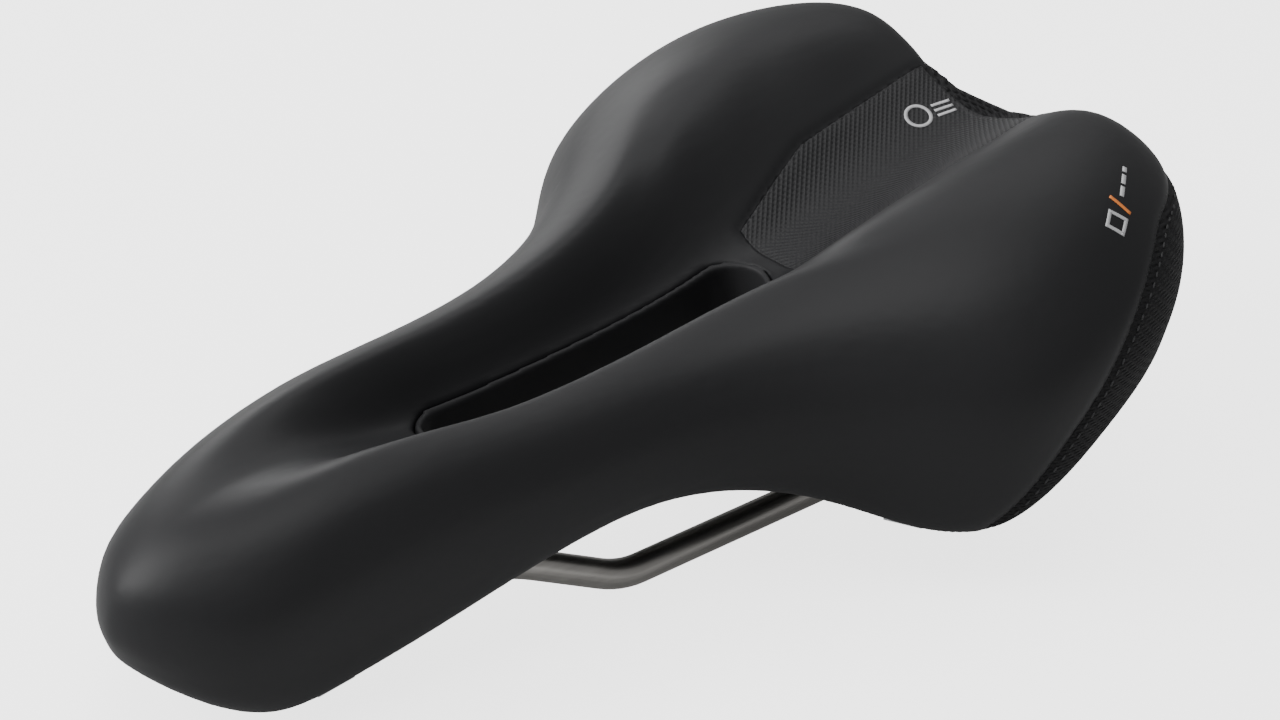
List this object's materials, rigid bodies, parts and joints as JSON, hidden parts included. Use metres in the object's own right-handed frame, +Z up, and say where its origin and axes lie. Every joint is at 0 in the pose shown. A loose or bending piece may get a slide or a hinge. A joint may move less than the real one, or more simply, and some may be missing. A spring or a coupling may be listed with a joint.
{
  "type": "bicycle saddle",
  "caption": "Comfort bicycle saddle: moulded skin over foam and gel on a ribbed plastic shell, with a through relief slot, an embossed centre panel and a bent wire rail.",
  "frame": {"origin": "midway between the two rails, on their axes' level, at the middle of the straight clamp section", "axes": "+Z up, -Y towards the nose, +X to the rider's left; the rails' clamp sections run along Y"},
  "size_m": [0.1676, 0.2608, 0.0896],
  "materials": {
    "skin": "matt moulded polyurethane skin",
    "panel": "embossed mesh texture",
    "band": "ribbed woven polyester",
    "foam": "polyurethane foam",
    "gel": "soft gel",
    "shell": "grained polypropylene",
    "liner": "satin thermoplastic rubber",
    "steel": "satin steel wire",
    "nylon": "glass-filled nylon",
    "bush": "elastomer",
    "fastener": "zinc plated"
  },
  "bodies": {
    "root": {"cover_skin": "skin", "centre_panel": "panel", "tail_band": "band", "foam_pad": "foam", "gel_pad_left": "gel", "gel_pad_right": "gel", "gel_pad_nose": "gel", "base_shell": "shell", "slot_liner": "liner", "rail": "steel", "nose_socket": "nylon", "nose_clip": "nylon", "nose_screws": "fastener", "rail_socket_left": "nylon", "rail_bush_left": "bush", "rail_socket_right": "nylon", "rail_bush_right": "bush", "accessory_dock": "nylon", "dock_screws": "fastener", "cover_staples": "fastener"}
  },
  "joints": []
}
